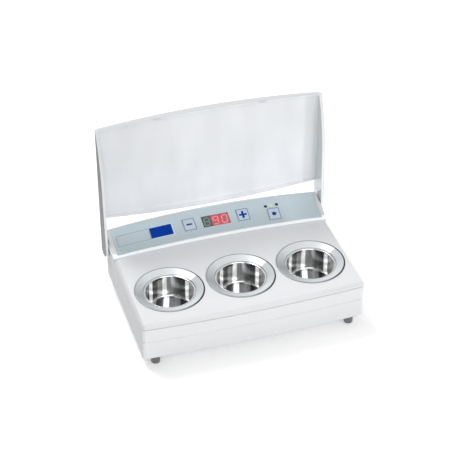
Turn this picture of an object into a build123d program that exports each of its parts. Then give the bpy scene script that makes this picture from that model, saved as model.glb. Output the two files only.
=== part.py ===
from build123d import *
import os
from math import atan, cos, degrees, sin

os.makedirs("parts", exist_ok=True)

# A bench-top wax heater: a low housing on rubber feet, three heated pots sunk in its deck, a
# sloping control console behind them and a lid that swings up and back over the console.
# Frame: +X right, +Y to the back, +Z up, millimetres. The table is Z = 0 and the origin is the
# middle of the heater's footprint with the lid open, which is the pose that is modelled.

# ------------------------------------------------------------------ driving dimensions: housing
body_depth = 165.5  # along the straight sides
front_bow = 4.5  # how far the front stands out at the middle
rear_bow = 7.5
front_corner = 5.2
rear_corner = 3.0
foot_height = 11.0  # underside of the base pan
split_height = 35.3  # parting line between base pan and top shell
deck_edge_radius = 4.8
shell_wall = 3.0
pan_floor = 2.6
seam_chamfer = 0.5
seam_band = 2.0  # the shell's lowest band, which carries the seam's chamfer
seam_tongue = 2.0  # height of the pan's tongue inside the shell
tongue_thickness = 1.4
fit_gap = 0.1  # between pieces that are pushed together
groove_width = 1.1  # shadow line below the deck's front edge
groove_depth = 0.8
groove_drop = 0.6  # below the start of the deck's edge rounding

# console
console_run = 39.0  # from its riser to the rear at the sides
console_bow = 6.2
console_riser = 3.4  # height above the deck at its lower edge
console_rise = 12.7  # from there to the rear at the sides
console_wall = 2.4
console_edge_radius = 1.2

# ------------------------------------------------------------------ driving dimensions: lid
hinge_inset = 6.5  # from the rear at the sides
hinge_drop = 3.9  # axis below the deck
lid_side_gap = 1.0  # between the housing and the side walls
lid_wall = 3.3  # side walls and arms
lid_skin = 3.0  # main panel
lid_crown = 4.0
lid_side_depth = 26.0
lid_length = 120.8  # panel, from its rear edge to its front edge at the sides
lid_front_bow = 5.0
lid_rear_bow = 6.5
lid_arm_reach = 33.5  # from the hinge axis to the panel's rear edge
lid_arm_offset = 2.5  # middle of an arm's depth behind the hinge axis, with the lid open
lid_lip_depth = 4.8
lid_lip_thickness = 2.4
lid_corner_radius = 5.0
lid_shoulder_drop = 28.0  # from the front edge to the middle of the side walls' curve
lid_shoulder_depth = 15.5  # of the side walls there
lid_curve_drop = 70.0  # from the front edge to the end of that curve
lid_curve_depth = 22.8
bumper_length = 8.0
bumper_width = 1.8
bumper_spacing = 126.0
bumper_height = 0.6
bumper_socket = 1.2
boss_radius = 6.5
hinge_side_gap = 0.2
pin_radius = 2.5
pin_clearance = 0.04
pin_socket_depth = 3.0
bush_wall = 1.4
bush_flange_radius = 4.9
bush_flange = 0.6
bush_length = 9.0  # below its flange
stop_arm_reach = 12.5
stop_arm_width = 5.0
stop_hub_radius = 4.0
stop_arm_thickness = 3.0
stop_gap = 0.15
stop_rib_height = 4.0

# ------------------------------------------------------------------ driving dimensions: pots
ring_spacing = 4.0  # between neighbouring rings
pot_side_margin = 46.6  # from an outer pot's middle to the housing's side
pot_setback = 54.5
pot_radius = 27.6  # inside
pot_wall = 1.2
pot_depth = 29.0
pot_corner = 4.0
pot_rim_width = 1.8
pot_rim_thickness = 1.3
pot_drop = 2.4  # rim below the deck
pot_gap = 0.4  # round the pot in its well
pot_rest_gap = 0.1
ring_radius = 40.3
ring_lip = 0.9  # crest above the deck
ring_crest_width = 1.6
ring_throat_gap = 0.6  # between the pot's rim and the ring
ring_throat_rise = 0.2  # ring's inner edge above the pot's rim
ring_thickness = 1.3
ring_skirt_radius = 38.2
ring_skirt_depth = 4.6
ring_hole_gap = 0.15
well_wall = 2.6
well_floor = 5.0
well_support_height = 7.6
well_flange_radius = 36.0
well_flange = 2.0
heater_thickness = 1.6
heater_height = 19.0
heater_rise = 2.5  # above the well's underside
heater_gap = 0.05
heater_split = 7.0
heater_lug = 5.0
sleeve_bore_radius = 20.0
sensor_radius = 2.0
sensor_depth = 3.0
sensor_head_radius = 3.6
sensor_head = 2.4
sensor_offset = 11.0
plate_thickness = 1.5
plate_side_margin = 23.0
plate_front_setback = 9.0
plate_rear_setback = 100.0
plate_corner = 6.0
plate_hole_gap = 0.3
plate_boss_radius = 4.0
plate_boss_margin = 6.0
plate_screw_radius = 1.5
plate_screw_length = 5.0
screw_head_radius = 2.9
screw_head = 2.0

# ------------------------------------------------------------------ driving dimensions: controls
overlay_side_margin = 5.2
overlay_height = 37.6
overlay_margin = 1.4  # above the console's lower edge
overlay_thickness = 0.5
overlay_recess = 0.6
overlay_corner = 1.0
overlay_gap = 0.15
display_along = 25.9  # up the slope, from the console's lower edge at the sides
window_width = 35.6
window_height = 18.2
window_thickness = 1.4
window_gap = 0.15
window_lap = 1.0  # of the overlay over the window's edge
display_width = 39.0
display_height = 21.0
display_thickness = 8.2
display_gap = 0.3
figure_pitch = 13.0
figure_width = 9.8
figure_height = 10.5
key_width = 15.2
key_height = 17.4
key_corner = 0.8
key_gap = 0.2
key_proud = 0.3
key_flange = 1.2
key_flange_thickness = 1.0
key_flange_gap = 0.15
key_stem_radius = 2.0
key_rest_gap = 0.05  # between a key's stem and its switch
key_travel = 0.4
key_places = {"minus": (-32.7, 26.1), "plus": (33.8, 26.0), "select": (71.1, 19.1)}
led_radius = 2.0
led_gap = 0.1
led_along = 31.9
led_pitch = 7.0
led_proud = 0.3
led_flange_radius = 2.4
led_flange = 1.0
switch_size = 6.0
switch_height = 3.4
control_board_left = 51.0
control_board_right = 90.0
control_board_front = 8.0
control_board_rear = 35.5
board_thickness = 1.6
board_post_radius = 2.6
board_screw_radius = 1.1
board_screw_length = 4.5
board_screw_head_radius = 2.0
board_screw_head = 1.4

# ------------------------------------------------------------------ driving dimensions: power side
power_board_left = -28.0
power_board_width = 130.0
power_board_inset = 61.5
power_board_depth = 52.0
power_board_standoff = 5.0
standoff_radius = 3.0
transformer_width = 42.0
transformer_depth = 36.0
transformer_height = 28.0
transformer_core_width = 46.0
transformer_core_depth = 28.0
relay_width = 10.0
relay_depth = 20.0
relay_height = 15.5
relay_pitch = 15.0
fuse_length = 22.0
fuse_radius = 3.2
fuse_glass_radius = 2.7
fuse_cap = 5.0
niche_side_margin = 22.0
niche_width = 42.0
niche_rise = 6.2  # above the parting line
niche_tall = 25.8
niche_inset = 2.5
niche_stop = 1.0  # ledge in front of the rear plate
niche_frame_wall = 4.0
rear_plate_thickness = 2.0
inlet_width = 27.0
inlet_height = 19.0
inlet_flange_width = 31.0
inlet_flange_height = 21.4
inlet_flange = 2.0
inlet_depth = 19.0
inlet_cavity_width = 24.2
inlet_cavity_height = 16.4
inlet_cavity_corner = 4.0
inlet_cavity_depth = 17.0
inlet_pin_width = 2.0
inlet_pin_height = 4.0
inlet_pin_recess = 4.5
inlet_pin_tail = 6.0
inlet_pin_spread = 7.0
inlet_pin_drop = 2.0

# ------------------------------------------------------------------ driving dimensions: fasteners
foot_side_margin = 15.6
foot_front_setback = 7.0
foot_rear_inset = 27.5
foot_radius = 5.7
foot_tip_radius = 5.2
foot_edge = 0.8
foot_seat_depth = 1.0
post_radius = 4.4
screw_radius = 1.5
screw_hole_gap = 0.2
screw_thread_gap = 0.05
screw_thread_length = 8.0
screw_head_gap = 0.2
vent_width = 3.0
vent_length = 34.0
vent_pitch = 9.0
vent_count = 9

# ------------------------------------------------------------------ places worked out from them
pot_pitch = 2 * ring_radius + ring_spacing
half_width = pot_pitch + pot_side_margin
body_width = 2 * half_width
pan_floor_height = foot_height + pan_floor
well_underside = pan_floor_height + well_support_height
pot_underside = well_underside + well_floor + pot_rest_gap
pot_rim_top = pot_underside + pot_wall + pot_depth
deck_height = pot_rim_top + pot_drop
console_front_height = deck_height + console_riser
console_rear_height = console_front_height + console_rise
hinge_height = deck_height - hinge_drop
console_setback = body_depth - console_run
hinge_setback = body_depth - hinge_inset
niche_setback = body_depth - niche_inset
foot_rear_setback = body_depth - foot_rear_inset
power_board_setback = body_depth - power_board_inset
lid_width = body_width + 2 * (lid_side_gap + lid_wall)
plate_width = body_width - 2 * plate_side_margin
overlay_width = body_width - 2 * overlay_side_margin
foot_spread = half_width - foot_side_margin
niche_left = niche_side_margin - half_width
niche_right = niche_left + niche_width
niche_bottom = split_height + niche_rise
niche_top = niche_bottom + niche_tall
inlet_x = (niche_left + niche_right) / 2
arm_radius = lid_side_depth / 2
skin_setback = hinge_setback + lid_arm_offset + arm_radius
side_front = -(skin_setback + lid_crown - front_bow) / 2  # front face at the sides
side_rear = side_front + body_depth
hinge_y = side_front + hinge_setback
pot_y = side_front + pot_setback
pot_places = {"left": -pot_pitch, "middle": 0.0, "right": pot_pitch}
deck_underside = deck_height - shell_wall
console_front = side_front + console_setback
console_grade = console_rise / (side_rear - console_front)
console_slope = atan(console_grade)
console_plane = Plane(
    origin=(0, console_front, console_front_height),
    x_dir=(1, 0, 0),
    z_dir=(0, -sin(console_slope), cos(console_slope)),
)
well_top = pot_rim_top - pot_rim_thickness - pot_rest_gap
plate_top = well_top - well_flange
plate_boss_places = [
    (x, side_front + setback)
    for setback in (plate_front_setback + plate_boss_margin, plate_rear_setback - plate_boss_margin)
    for x in (-pot_pitch / 2, pot_pitch / 2)
]
foot_places = [
    (x, side_front + setback)
    for setback in (foot_front_setback, foot_rear_setback)
    for x in (-foot_spread, foot_spread)
]
head_seat = foot_height + foot_seat_depth + screw_head + fit_gap  # under the long screws' heads
bush_radius = pin_radius + pin_clearance + bush_wall
bush_end = half_width - bush_length
niche_middle = (niche_bottom + niche_top) / 2
niche_face = side_front + niche_setback  # outer face of the rear plate
power_board_under = pan_floor_height + power_board_standoff
power_board_x = power_board_left + power_board_width / 2
power_board_y = side_front + power_board_setback + power_board_depth / 2
power_screw_pitch = (
    power_board_width - 2 * standoff_radius - 2,
    power_board_depth - 2 * standoff_radius - 2,
)
board_face = window_thickness + overlay_recess + display_thickness  # below the slope
board_x = (control_board_right - control_board_left) / 2
board_along = (control_board_front + control_board_rear) / 2
board_width = control_board_left + control_board_right
board_length = control_board_rear - control_board_front
board_screw_pitch = (board_width - 2 * board_post_radius, board_length - 2 * board_post_radius)


def keep(builder, name):
    """Label a finished sub-part and write it."""
    builder.part.label = name
    export_step(builder.part, f"parts/{name}.step")


def console_top(y):
    """Height of the console's sloping face at a depth y."""
    return console_front_height + (y - console_front) * console_grade


def console_turn(x):
    """Angle of the console's lower edge at x, which the keys follow."""
    return -degrees(atan(2 * console_bow * x / half_width**2))


def housing_plan(inset=0.0):
    """The housing seen from above: straight sides, a bowed front and rear and round corners."""
    with BuildSketch(mode=Mode.PRIVATE) as plan:
        with BuildLine():
            front_left, front_right = (-half_width, side_front), (half_width, side_front)
            rear_left, rear_right = (-half_width, side_rear), (half_width, side_rear)
            ThreePointArc(front_left, (0, side_front - front_bow), front_right)
            Line(front_right, rear_right)
            ThreePointArc(rear_right, (0, side_rear + rear_bow), rear_left)
            Line(rear_left, front_left)
        make_face()
        corners = plan.vertices().group_by(Axis.Y)
        fillet(corners[0], front_corner)
        fillet(plan.vertices().group_by(Axis.Y)[-1], rear_corner)
        if inset:
            offset(amount=-inset)
    return plan.sketch


def console_plan(plan, inset=0.0):
    """The part of a housing plan that lies behind the console's bowed riser."""
    edge = console_front + inset
    back = side_rear + 2 * rear_bow
    reach = half_width + shell_wall
    with BuildSketch(mode=Mode.PRIVATE) as area:
        with BuildLine():
            ThreePointArc((-reach, edge), (0, edge + console_bow), (reach, edge))
            Polyline((reach, edge), (reach, back), (-reach, back), (-reach, edge))
        make_face()
        add(plan, mode=Mode.INTERSECT)
    return area.sketch


def overlay_outline(grow=0.0):
    """The control overlay's outline on the slope: straight sides between two bowed edges."""
    reach = overlay_width / 2 + grow
    low = overlay_margin - grow
    high = overlay_margin + overlay_height + grow
    with BuildSketch(mode=Mode.PRIVATE) as outline:
        with BuildLine():
            ThreePointArc((-reach, low), (0, low + console_bow), (reach, low))
            Line((reach, low), (reach, high))
            ThreePointArc((reach, high), (0, high + console_bow), (-reach, high))
            Line((-reach, high), (-reach, low))
        make_face()
        fillet(outline.vertices(), overlay_corner)
    return outline.sketch


outer_plan = housing_plan()
inner_plan = housing_plan(shell_wall)
tongue_plan = housing_plan(shell_wall - tongue_thickness)

# ------------------------------------------------------------------ base pan
with BuildPart() as base_pan:
    with BuildSketch(Plane.XY.offset(foot_height)):
        add(outer_plan)
    extrude(amount=split_height - foot_height)
    chamfer(base_pan.faces().sort_by(Axis.Z)[-1].edges(), seam_chamfer)
    chamfer(base_pan.faces().sort_by(Axis.Z)[0].edges(), 2 * seam_chamfer)
    with BuildSketch(Plane.XY.offset(pan_floor_height)):
        add(inner_plan)
    extrude(amount=split_height, mode=Mode.SUBTRACT)
    # tongue that locates the top shell
    with BuildSketch(Plane.XY.offset(split_height - seam_tongue)):
        add(tongue_plan)
        add(inner_plan, mode=Mode.SUBTRACT)
    extrude(amount=2 * seam_tongue)
    # pillars for the long screws, standoffs for the power board
    with BuildSketch(Plane.XY.offset(foot_height + 2 * seam_chamfer)):
        with Locations(foot_places):
            Circle(post_radius)
    extrude(amount=split_height - foot_height - 2 * seam_chamfer)
    with BuildSketch(Plane.XY.offset(foot_height + 2 * seam_chamfer)):
        with Locations((power_board_x, power_board_y)):
            with GridLocations(*power_screw_pitch, 2, 2):
                Circle(standoff_radius)
    extrude(amount=power_board_under - foot_height - 2 * seam_chamfer)
    # seats for the feet, with the screw heads behind them
    with BuildSketch(Plane.XY.offset(foot_height)):
        with Locations(foot_places):
            Circle(foot_radius + fit_gap)
    extrude(amount=foot_seat_depth, mode=Mode.SUBTRACT)
    with BuildSketch(Plane.XY.offset(foot_height)):
        with Locations(foot_places):
            Circle(screw_head_radius + screw_head_gap)
    extrude(amount=head_seat - foot_height, mode=Mode.SUBTRACT)
    with BuildSketch(Plane.XY.offset(foot_height)):
        with Locations(foot_places):
            Circle(screw_radius + screw_hole_gap)
    extrude(amount=split_height, mode=Mode.SUBTRACT)
    with BuildSketch(Plane.XY.offset(pan_floor_height)):
        with Locations((power_board_x, power_board_y)):
            with GridLocations(*power_screw_pitch, 2, 2):
                Circle(board_screw_radius + screw_thread_gap)
    extrude(amount=power_board_standoff, mode=Mode.SUBTRACT)
    # air slots under the power board
    with BuildSketch(Plane.XY.offset(foot_height)):
        with Locations((power_board_x, power_board_y)):
            with GridLocations(vent_pitch, 0, vent_count, 1):
                SlotOverall(vent_length, vent_width, rotation=90)
    extrude(amount=pan_floor, mode=Mode.SUBTRACT)
keep(base_pan, "base_pan")

# ------------------------------------------------------------------ top shell
with BuildPart() as console_form:
    with BuildSketch(Plane.XY.offset(split_height + seam_band / 2)):
        add(console_plan(outer_plan))
    extrude(amount=2 * console_rear_height)
    split(bisect_by=console_plane, keep=Keep.BOTTOM)
    slope_edges = console_form.faces().sort_by(Axis.Z)[-1].edges()
    riser_edge = slope_edges.sort_by(Axis.Y)[0]
    fillet(slope_edges - [riser_edge], console_edge_radius)

with BuildPart() as console_hollow:
    with BuildSketch(Plane.XY.offset(split_height)):
        add(console_plan(inner_plan, shell_wall))
    extrude(amount=2 * console_rear_height)
    split(bisect_by=console_plane.offset(-console_wall), keep=Keep.BOTTOM)

with BuildPart() as deck_form:
    with BuildSketch(Plane.XY.offset(split_height + seam_band / 2)):
        add(outer_plan)
        with Locations((0, side_front)):
            Rectangle(
                body_width, 2 * (console_setback + console_bow + shell_wall), mode=Mode.INTERSECT
            )
    extrude(amount=deck_height - split_height - seam_band / 2)
    deck_edges = deck_form.faces().sort_by(Axis.Z)[-1].edges()
    fillet(deck_edges - deck_edges.sort_by(Axis.Y)[-1:], deck_edge_radius)

# solid frame round the connector niche, which runs out to the bowed rear wall
with BuildPart() as niche_frame:
    with BuildSketch(Plane.XY.offset(niche_bottom - niche_frame_wall)):
        add(outer_plan)
        with Locations(((niche_left + niche_right) / 2, niche_face + rear_bow)):
            Rectangle(
                niche_right - niche_left + 2 * niche_frame_wall,
                2 * (rear_bow + rear_plate_thickness + niche_stop),
                mode=Mode.INTERSECT,
            )
    extrude(amount=niche_top - niche_bottom + 2 * niche_frame_wall)

with BuildPart() as top_shell:
    with BuildSketch(Plane.XY.offset(split_height)):
        add(outer_plan)
    extrude(amount=seam_band)
    chamfer(top_shell.faces().sort_by(Axis.Z)[0].edges(), seam_chamfer)
    add(deck_form.part)
    add(console_form.part)
    with BuildSketch(Plane.XY.offset(split_height - seam_tongue)):
        add(inner_plan)
    extrude(amount=deck_underside - split_height + seam_tongue, mode=Mode.SUBTRACT)
    add(console_hollow.part, mode=Mode.SUBTRACT)
    add(niche_frame.part)
    # rebate for the pan's tongue
    with BuildSketch(Plane.XY.offset(split_height)):
        add(housing_plan(shell_wall - tongue_thickness - fit_gap))
        add(housing_plan(shell_wall + fit_gap), mode=Mode.SUBTRACT)
    extrude(amount=seam_tongue + fit_gap, mode=Mode.SUBTRACT)
    # shadow groove across the front, below the deck's rounded edge
    with BuildSketch(
        Plane.XY.offset(deck_height - deck_edge_radius - groove_drop - groove_width)
    ):
        with Locations((0, side_front)):
            Rectangle(body_width, 4 * front_bow)
        add(housing_plan(groove_depth), mode=Mode.SUBTRACT)
    extrude(amount=groove_width, mode=Mode.SUBTRACT)
    # posts that take the long screws, bosses that carry the pot plate
    for x, y in foot_places:
        roof = deck_underside if y < console_front else console_top(y) - console_wall
        with BuildSketch(Plane.XY.offset(split_height)):
            with Locations((x, y)):
                Circle(post_radius)
        extrude(amount=roof + console_wall / 2 - split_height)
    with BuildSketch(Plane.XY.offset(plate_top)):
        with Locations(plate_boss_places):
            Circle(plate_boss_radius)
    extrude(amount=deck_underside + shell_wall / 2 - plate_top)
    # hinge bosses and the ribs above the lid's stop levers
    for side in (-1, 1):
        with BuildSketch(Plane.YZ.offset(side * bush_end)):
            with Locations((hinge_y, hinge_height)):
                Circle(bush_flange_radius)
        extrude(amount=side * (half_width - shell_wall / 2 - bush_end))
        rib_end = bush_end - hinge_side_gap - stop_arm_thickness
        with BuildSketch(Plane.YZ.offset(side * rib_end)):
            with Locations(
                (
                    hinge_y - stop_arm_reach + stop_arm_width / 2,
                    hinge_height + (stop_arm_width + stop_rib_height) / 2 + stop_gap,
                )
            ):
                Rectangle(stop_arm_width, stop_rib_height)
        extrude(amount=side * (half_width - shell_wall / 2 - rib_end))
        with BuildSketch(Plane.YZ.offset(side * bush_end)):
            with Locations((hinge_y, hinge_height)):
                Circle(bush_radius + fit_gap / 2)
        extrude(amount=side * 2 * bush_length, mode=Mode.SUBTRACT)
    # control-board posts, square to the slope
    with BuildSketch(console_plane.offset(-board_face)):
        with Locations((board_x, board_along)):
            with GridLocations(*board_screw_pitch, 2, 2):
                Circle(board_post_radius)
    extrude(amount=board_face - console_wall / 2)
    # screw holes
    with BuildSketch(Plane.XY.offset(split_height)):
        with Locations(foot_places):
            Circle(screw_radius + screw_thread_gap)
    extrude(amount=screw_thread_length + 1, mode=Mode.SUBTRACT)
    with BuildSketch(Plane.XY.offset(plate_top)):
        with Locations(plate_boss_places):
            Circle(plate_screw_radius + screw_thread_gap)
    extrude(amount=plate_screw_length - plate_thickness + fit_gap, mode=Mode.SUBTRACT)
    with BuildSketch(console_plane.offset(-board_face)):
        with Locations((board_x, board_along)):
            with GridLocations(*board_screw_pitch, 2, 2):
                Circle(board_screw_radius + screw_thread_gap)
    extrude(amount=board_screw_length - board_thickness + fit_gap, mode=Mode.SUBTRACT)
    # holes for the pots' rings
    with BuildSketch(Plane.XY.offset(deck_underside - 1)):
        with Locations([(x, pot_y) for x in pot_places.values()]):
            Circle(ring_skirt_radius + ring_hole_gap)
    extrude(amount=shell_wall + 2, mode=Mode.SUBTRACT)
    # recess and openings in the console
    with BuildSketch(console_plane.offset(-overlay_recess)):
        add(overlay_outline(overlay_gap))
    extrude(amount=2 * overlay_recess, mode=Mode.SUBTRACT)
    with BuildSketch(console_plane):
        with Locations((0, display_along)):
            Rectangle(window_width + 2 * window_gap, window_height + 2 * window_gap)
        for x, along in key_places.values():
            with Locations(Location((x, along), console_turn(x))):
                Rectangle(key_width + 2 * key_gap, key_height + 2 * key_gap)
        with Locations((key_places["select"][0], led_along)):
            with GridLocations(led_pitch, 0, 3, 1):
                Circle(led_radius + led_gap)
    extrude(amount=-2 * console_wall, mode=Mode.SUBTRACT)
    with BuildSketch(console_plane.offset(-overlay_recess - window_thickness)):
        with Locations((0, display_along)):
            Rectangle(display_width + 2 * display_gap, display_height + 2 * display_gap)
    extrude(amount=-2 * console_wall, mode=Mode.SUBTRACT)
    # connector niche through the rear wall
    with BuildSketch(Plane.XZ.offset(-niche_face + 2 * (rear_plate_thickness + niche_stop))):
        with Locations(((niche_left + niche_right) / 2, niche_middle)):
            Rectangle(
                niche_right - niche_left - 2 * niche_frame_wall,
                niche_top - niche_bottom - niche_frame_wall,
            )
    extrude(amount=-4 * rear_bow, mode=Mode.SUBTRACT)
    with BuildSketch(Plane.XZ.offset(-niche_face + rear_plate_thickness)):
        with Locations(((niche_left + niche_right) / 2, niche_middle)):
            Rectangle(niche_right - niche_left, niche_top - niche_bottom)
    extrude(amount=-4 * rear_bow, mode=Mode.SUBTRACT)
keep(top_shell, "top_shell")

# ------------------------------------------------------------------ rear plate and mains inlet
with BuildPart() as rear_plate:
    with BuildSketch(Plane.XZ.offset(-niche_face)):
        with Locations(((niche_left + niche_right) / 2, niche_middle)):
            Rectangle(
                niche_right - niche_left - 2 * fit_gap, niche_top - niche_bottom - 2 * fit_gap
            )
        with Locations((inlet_x, niche_middle)):
            Rectangle(inlet_width + 2 * fit_gap, inlet_height + 2 * fit_gap, mode=Mode.SUBTRACT)
    extrude(amount=rear_plate_thickness)
keep(rear_plate, "rear_plate")

with BuildSketch(mode=Mode.PRIVATE) as pin_places:
    with Locations((inlet_x, niche_middle - inlet_pin_drop)):
        with GridLocations(2 * inlet_pin_spread, 0, 2, 1):
            Rectangle(inlet_pin_width, inlet_pin_height)
    with Locations((inlet_x, niche_middle + inlet_pin_drop)):
        Rectangle(inlet_pin_width, inlet_pin_height)
pin_section = pin_places.sketch

with BuildPart() as mains_inlet:
    with BuildSketch(Plane.XZ.offset(-niche_face)):
        with Locations((inlet_x, niche_middle)):
            RectangleRounded(inlet_flange_width, inlet_flange_height, 2)
    extrude(amount=-inlet_flange)
    with BuildSketch(Plane.XZ.offset(-niche_face)):
        with Locations((inlet_x, niche_middle)):
            Rectangle(inlet_width, inlet_height)
    extrude(amount=inlet_depth)
    with BuildSketch(Plane.XZ.offset(-niche_face - inlet_flange)) as cavity:
        with Locations((inlet_x, niche_middle)):
            Rectangle(inlet_cavity_width, inlet_cavity_height)
        chamfer(cavity.vertices().group_by(Axis.Y)[-1], inlet_cavity_corner)
    extrude(amount=inlet_cavity_depth, mode=Mode.SUBTRACT)
    with BuildSketch(Plane.XZ.offset(-niche_face)):
        add(pin_section)
    extrude(amount=2 * inlet_depth, mode=Mode.SUBTRACT)
keep(mains_inlet, "mains_inlet")

with BuildPart() as inlet_pins:
    pin_front = niche_face + inlet_flange - inlet_pin_recess
    with BuildSketch(Plane.XZ.offset(-pin_front)):
        add(pin_section)
    extrude(amount=pin_front - niche_face + inlet_depth + inlet_pin_tail)
keep(inlet_pins, "inlet_pins")

# ------------------------------------------------------------------ pots, rings and heating wells
crest = deck_height + ring_lip
throat_height = pot_rim_top + ring_throat_rise
throat_radius = pot_radius + pot_rim_width + ring_throat_gap
well_radius = pot_radius + pot_wall + pot_gap
well_outer = well_radius + well_wall
heater_radius = well_outer + heater_gap


for place, x in pot_places.items():
    pot_outer = pot_radius + pot_wall
    with BuildPart() as wax_pot:
        with BuildSketch(Plane((x, pot_y, 0), x_dir=(1, 0, 0), z_dir=(0, -1, 0))) as profile:
            with BuildLine():
                Polyline(
                    (0, pot_underside),
                    (pot_outer, pot_underside),
                    (pot_outer, pot_rim_top - pot_rim_thickness),
                    (pot_radius + pot_rim_width, pot_rim_top - pot_rim_thickness),
                    (pot_radius + pot_rim_width, pot_rim_top),
                    (pot_radius, pot_rim_top),
                    (pot_radius, pot_underside + pot_wall),
                    (0, pot_underside + pot_wall),
                    close=True,
                )
            make_face()
            levels = profile.vertices().group_by(Axis.Y)
            fillet(levels[1].sort_by(Axis.X)[-1], pot_corner)
            fillet(levels[0].sort_by(Axis.X)[-1], pot_corner + pot_wall)
        revolve(axis=Axis((x, pot_y, 0), (0, 0, 1)))
    keep(wax_pot, f"wax_pot_{place}")

    with BuildPart() as funnel_ring:
        with BuildSketch(Plane((x, pot_y, 0), x_dir=(1, 0, 0), z_dir=(0, -1, 0))):
            with BuildLine():
                Polyline(
                    (throat_radius, throat_height),
                    (ring_radius - ring_crest_width, crest),
                    (ring_radius - ring_lip / 2, crest),
                    (ring_radius, deck_height),
                    (ring_skirt_radius, deck_height),
                    (ring_skirt_radius, deck_height - ring_skirt_depth),
                    (ring_skirt_radius - ring_thickness, deck_height - ring_skirt_depth),
                    (ring_skirt_radius - ring_thickness, deck_height - ring_thickness),
                    (throat_radius, throat_height - ring_thickness),
                    close=True,
                )
            make_face()
        revolve(axis=Axis((x, pot_y, 0), (0, 0, 1)))
    keep(funnel_ring, f"funnel_ring_{place}")

    with BuildPart() as heating_well:
        with BuildSketch(Plane.XY.offset(well_underside)):
            with Locations((x, pot_y)):
                Circle(well_outer)
        extrude(amount=well_top - well_underside)
        with BuildSketch(Plane.XY.offset(plate_top)):
            with Locations((x, pot_y)):
                Circle(well_flange_radius)
        extrude(amount=well_flange)
        with BuildSketch(Plane.XY.offset(well_underside + well_floor)):
            with Locations((x, pot_y)):
                Circle(well_radius)
        extrude(amount=well_top, mode=Mode.SUBTRACT)
        with BuildSketch(Plane.XY.offset(well_underside)):
            with Locations((x + sensor_offset, pot_y)):
                Circle(sensor_radius + fit_gap)
        extrude(amount=sensor_depth + fit_gap, mode=Mode.SUBTRACT)
    keep(heating_well, f"heating_well_{place}")

    with BuildPart() as band_heater:
        with BuildSketch(Plane.XY.offset(well_underside + heater_rise)):
            with Locations((x, pot_y)):
                Circle(heater_radius + heater_thickness)
            with Locations((x, pot_y + heater_radius + heater_lug / 2)):
                Rectangle(heater_split + 2 * heater_thickness, heater_lug + heater_thickness)
            with Locations((x, pot_y)):
                Circle(heater_radius, mode=Mode.SUBTRACT)
            with Locations((x, pot_y + heater_radius + heater_lug / 2)):
                Rectangle(heater_split, 2 * heater_lug, mode=Mode.SUBTRACT)
        extrude(amount=heater_height)
    keep(band_heater, f"band_heater_{place}")

    with BuildPart() as well_support:
        with BuildSketch(Plane.XY.offset(pan_floor_height)):
            with Locations((x, pot_y)):
                Circle(well_outer)
                Circle(sleeve_bore_radius, mode=Mode.SUBTRACT)
        extrude(amount=well_underside - pan_floor_height)
    keep(well_support, f"well_support_{place}")

    with BuildPart() as temperature_sensor:
        with BuildSketch(Plane.XY.offset(well_underside - sensor_head)):
            with Locations((x + sensor_offset, pot_y)):
                Circle(sensor_head_radius)
        extrude(amount=sensor_head)
        with BuildSketch(Plane.XY.offset(well_underside)):
            with Locations((x + sensor_offset, pot_y)):
                Circle(sensor_radius)
        extrude(amount=sensor_depth)
    keep(temperature_sensor, f"temperature_sensor_{place}")

# ------------------------------------------------------------------ lid
lid_half = lid_width / 2
lid_inner = lid_half - lid_wall
arm_y = hinge_y + lid_arm_offset
skin_y = arm_y + arm_radius  # outer skin at the sides, with the lid open
rim_y = arm_y - arm_radius
lid_foot = hinge_height - arm_radius
panel_low = hinge_height + lid_arm_reach
panel_high = panel_low + lid_length
lid_top = panel_high + lid_front_bow
lip_y = skin_y - lid_lip_depth
boss_end = half_width + bush_flange + hinge_side_gap


def lid_section(half, back, rounding):
    """The lid cut across: two side walls joined by a crowned skin, as a filled outline."""
    with BuildSketch(mode=Mode.PRIVATE) as section:
        with BuildLine():
            Line((-half, rim_y - 1), (-half, back))
            ThreePointArc((-half, back), (0, back + lid_crown), (half, back))
            Line((half, back), (half, rim_y - 1))
            Line((half, rim_y - 1), (-half, rim_y - 1))
        make_face()
        fillet(section.vertices().group_by(Axis.Y)[-1], rounding)
    return section.sketch


def lid_face(half, low, high):
    """The lid seen from the front between two bowed edges."""
    with BuildSketch(mode=Mode.PRIVATE) as face:
        with BuildLine():
            ThreePointArc((-half, low), (0, low - lid_rear_bow), (half, low))
            Line((half, low), (half, high))
            ThreePointArc((half, high), (0, high + lid_front_bow), (-half, high))
            Line((-half, high), (-half, low))
        make_face()
    return face.sketch


def hinge_circle(radius, start, length, mode=Mode.ADD):
    """A round bar or bore on the hinge axis, from x = start."""
    with BuildSketch(Plane.YZ.offset(start), mode=Mode.PRIVATE) as disc:
        with Locations((hinge_y, hinge_height)):
            Circle(radius)
    extrude(disc.sketch, amount=length, mode=mode)


with BuildPart() as lid_hollow:
    with BuildSketch(Plane.XY.offset(lid_foot)):
        add(lid_section(lid_inner, skin_y - lid_skin, lid_corner_radius - lid_wall))
    extrude(amount=lid_top)
    with BuildSketch(Plane.XZ):
        add(
            lid_face(
                lid_inner + 1, panel_low + lid_lip_thickness, panel_high - lid_lip_thickness
            )
        )
    extrude(amount=lid_width, both=True, mode=Mode.INTERSECT)

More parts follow.
